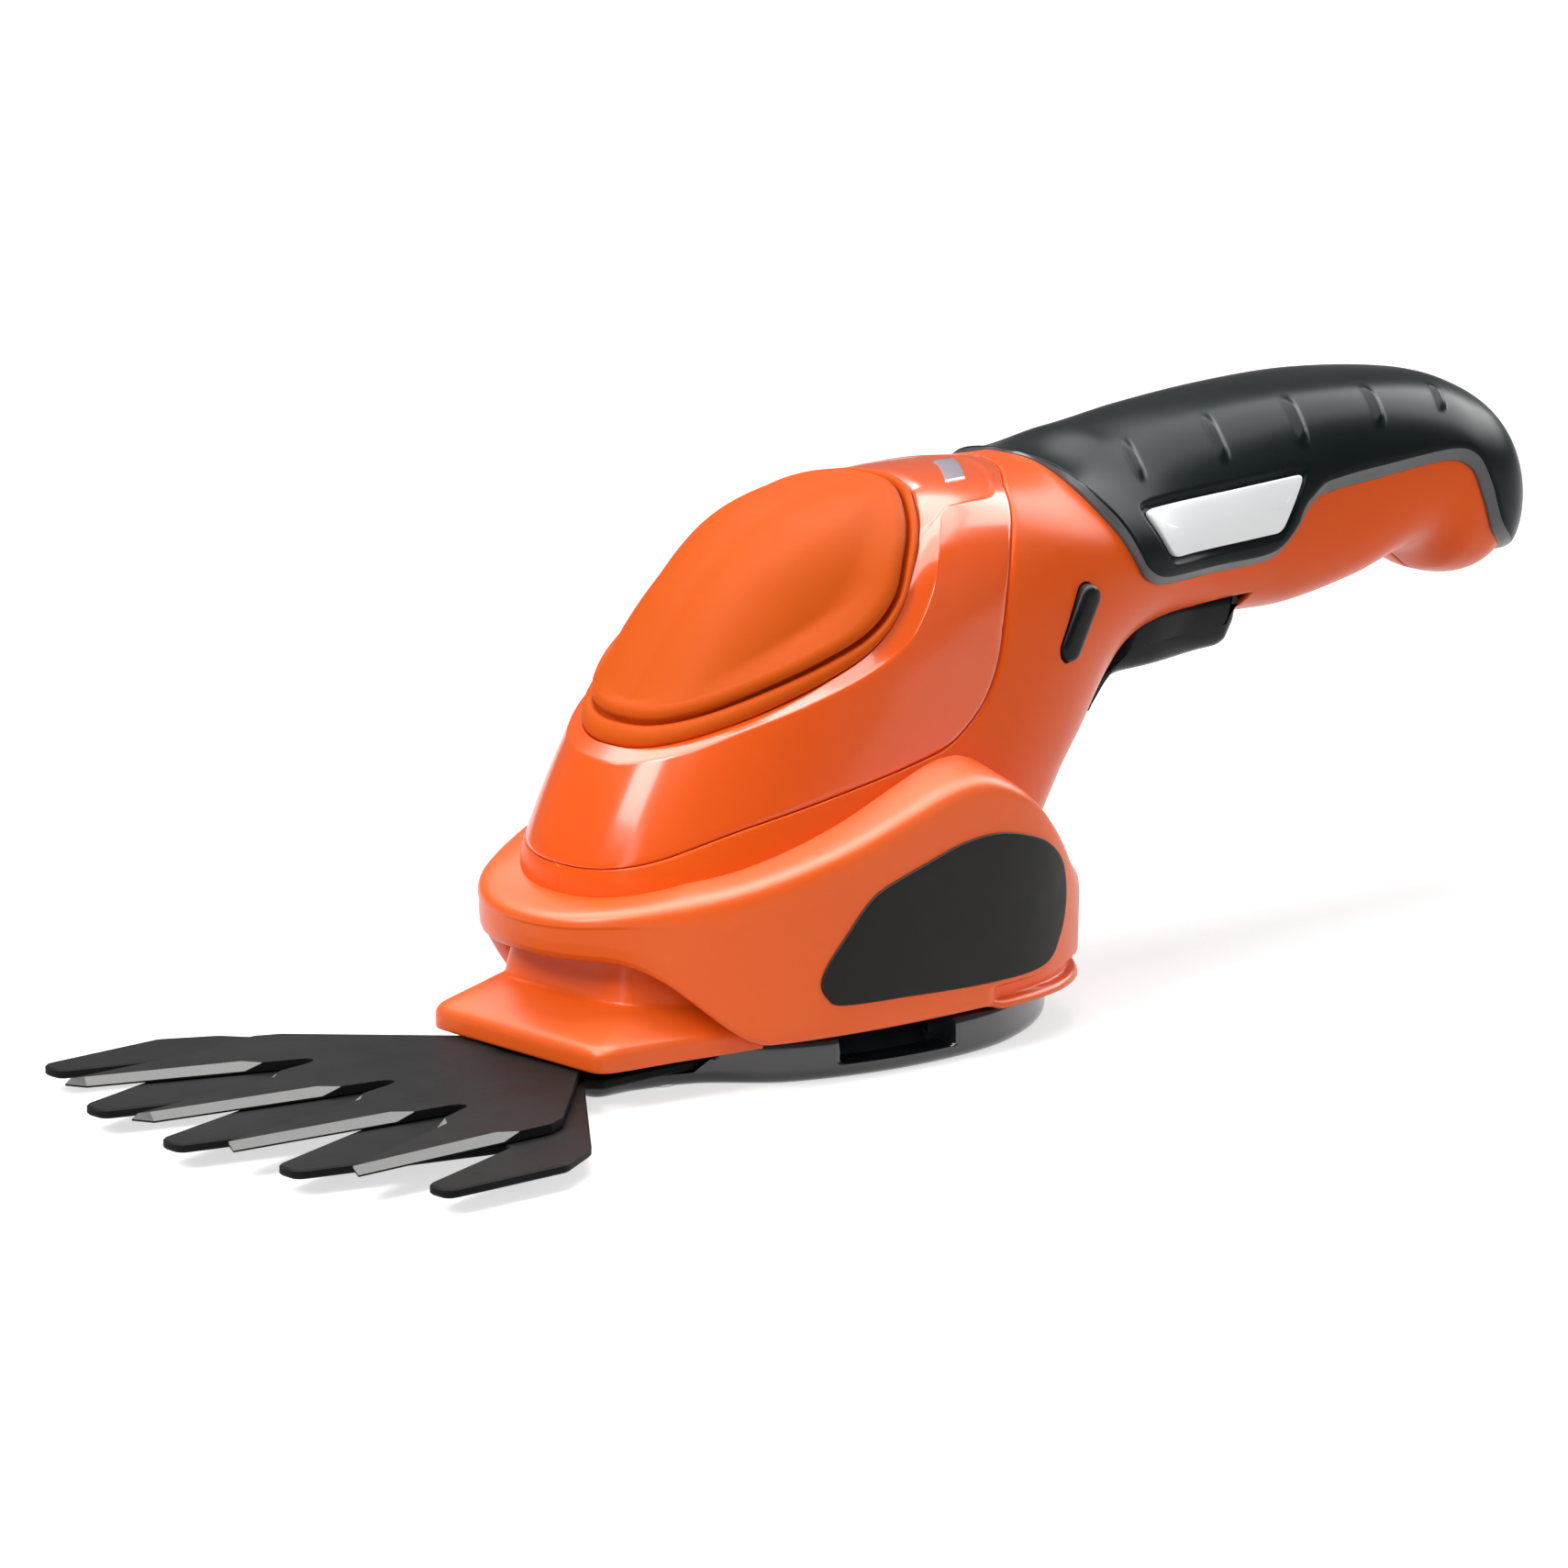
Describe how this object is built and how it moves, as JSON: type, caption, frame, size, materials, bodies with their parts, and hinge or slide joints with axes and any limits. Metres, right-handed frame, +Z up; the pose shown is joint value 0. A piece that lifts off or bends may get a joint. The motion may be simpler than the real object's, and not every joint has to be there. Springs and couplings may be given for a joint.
{
  "type": "cordless grass shears",
  "caption": "Hand-held cordless grass shears: a swinging toothed cutter over a fixed comb under a moulded tower body, with a soft-grip handle, trigger and lock-off button.",
  "frame": {"origin": "on the sole's flat underside, where the crank axis meets it", "axes": "+X from the blades to the handle, +Y to the right side, +Z up from the ground"},
  "size_m": [0.2994, 0.104, 0.0971],
  "materials": {
    "orange_gloss": "glossy moulded orange",
    "orange_satin": "satin moulded orange",
    "orange_matte": "fine-grained matte orange",
    "black_gloss": "glossy black",
    "soft_grip": "soft-touch charcoal",
    "blade_dark": "dark coating with bright ground bevels",
    "steel": "turned steel",
    "label_white": "bare white plate",
    "badge_grey": "bare dark grey plate",
    "lens": "translucent pale grey",
    "black_matte": "matte black",
    "gear_nylon": "natural nylon",
    "brass": "plain brass",
    "magnet": "dark sintered magnet",
    "winding": "steel core with copper winding",
    "plate": "stamped plate",
    "cell_wrap": "shrink-wrapped cell",
    "board_green": "coated circuit board",
    "wire": "insulated wire"
  },
  "bodies": {
    "housing": {"comb_blade": "blade_dark", "blade_pivot": "steel", "pivot_washer": "steel", "sole_plate": "black_gloss", "base_housing": "orange_satin", "nose_guard": "orange_satin", "left_body_shell": "orange_satin", "right_body_shell": "orange_satin", "hood": "orange_gloss", "top_cap": "orange_matte", "grip_cover": "soft_grip", "left_label_plate": "label_white", "right_label_plate": "label_white", "left_side_badge": "badge_grey", "right_side_badge": "badge_grey", "indicator_lens": "lens", "trigger_pin": "steel", "gear_plate": "plate", "crank_bush": "brass", "idler_axle": "steel", "motor_plate": "plate", "motor_can": "steel", "motor_magnets": "magnet", "motor_end_cap": "gear_nylon", "battery_cell": "cell_wrap", "contact_tabs": "steel", "circuit_board": "board_green", "micro_switch": "black_matte", "charge_socket": "black_matte", "motor_leads": "wire", "case_screws": "steel", "sole_screws": "steel", "motor_screws": "steel"},
    "cutter": {"cutter_blade": "blade_dark"},
    "crank": {"crank_gear": "gear_nylon", "crank_pin": "steel"},
    "idler": {"idler_gear": "gear_nylon"},
    "rotor": {"rotor": "winding", "motor_pinion": "brass"},
    "trigger": {"trigger": "black_matte"},
    "plunger": {"switch_plunger": "gear_nylon"},
    "button": {"lock_off_button": "black_matte"}
  },
  "joints": [
    {"name": "motor_spin", "type": "hinge", "parent": "housing", "child": "rotor", "pos_m": [0, 0, 0.04], "axis": [0, 0, 1], "continuous": true},
    {"name": "idler_spin", "type": "hinge", "parent": "housing", "child": "idler", "pos_m": [0.018, 0, 0.015], "axis": [0, 0, 1], "continuous": true},
    {"name": "crank_spin", "type": "hinge", "parent": "housing", "child": "crank", "pos_m": [0, 0, 0.01], "axis": [0, 0, 1], "continuous": true},
    {"name": "blade_swing", "type": "hinge", "parent": "housing", "child": "cutter", "pos_m": [-0.038, 0, 0.0046], "axis": [0, 0, 1], "range_deg": [-6, 6]},
    {"name": "trigger_pull", "type": "hinge", "parent": "housing", "child": "trigger", "pos_m": [0.08, 0, 0.0575], "axis": [0, -1, 0], "range_deg": [0, 6], "stiffness_Nm_per_rad": 0.6, "springref_deg": -5.73},
    {"name": "plunger_press", "type": "slide", "parent": "housing", "child": "plunger", "axis": [0, 0, 1], "range_m": [0, 0.0019]},
    {"name": "lock_off_press", "type": "slide", "parent": "housing", "child": "button", "axis": [0, 1, 0], "range_m": [-0.0025, 0.0025], "stiffness_N_per_m": 400}
  ],
  "couplings": [
    {"joint": "idler_spin", "follows": "motor_spin", "ratio": -0.33333},
    {"joint": "crank_spin", "follows": "motor_spin", "ratio": 0.11111},
    {"joint": "plunger_press", "follows": "trigger_pull", "m_per_rad": 0.0175}
  ]
}
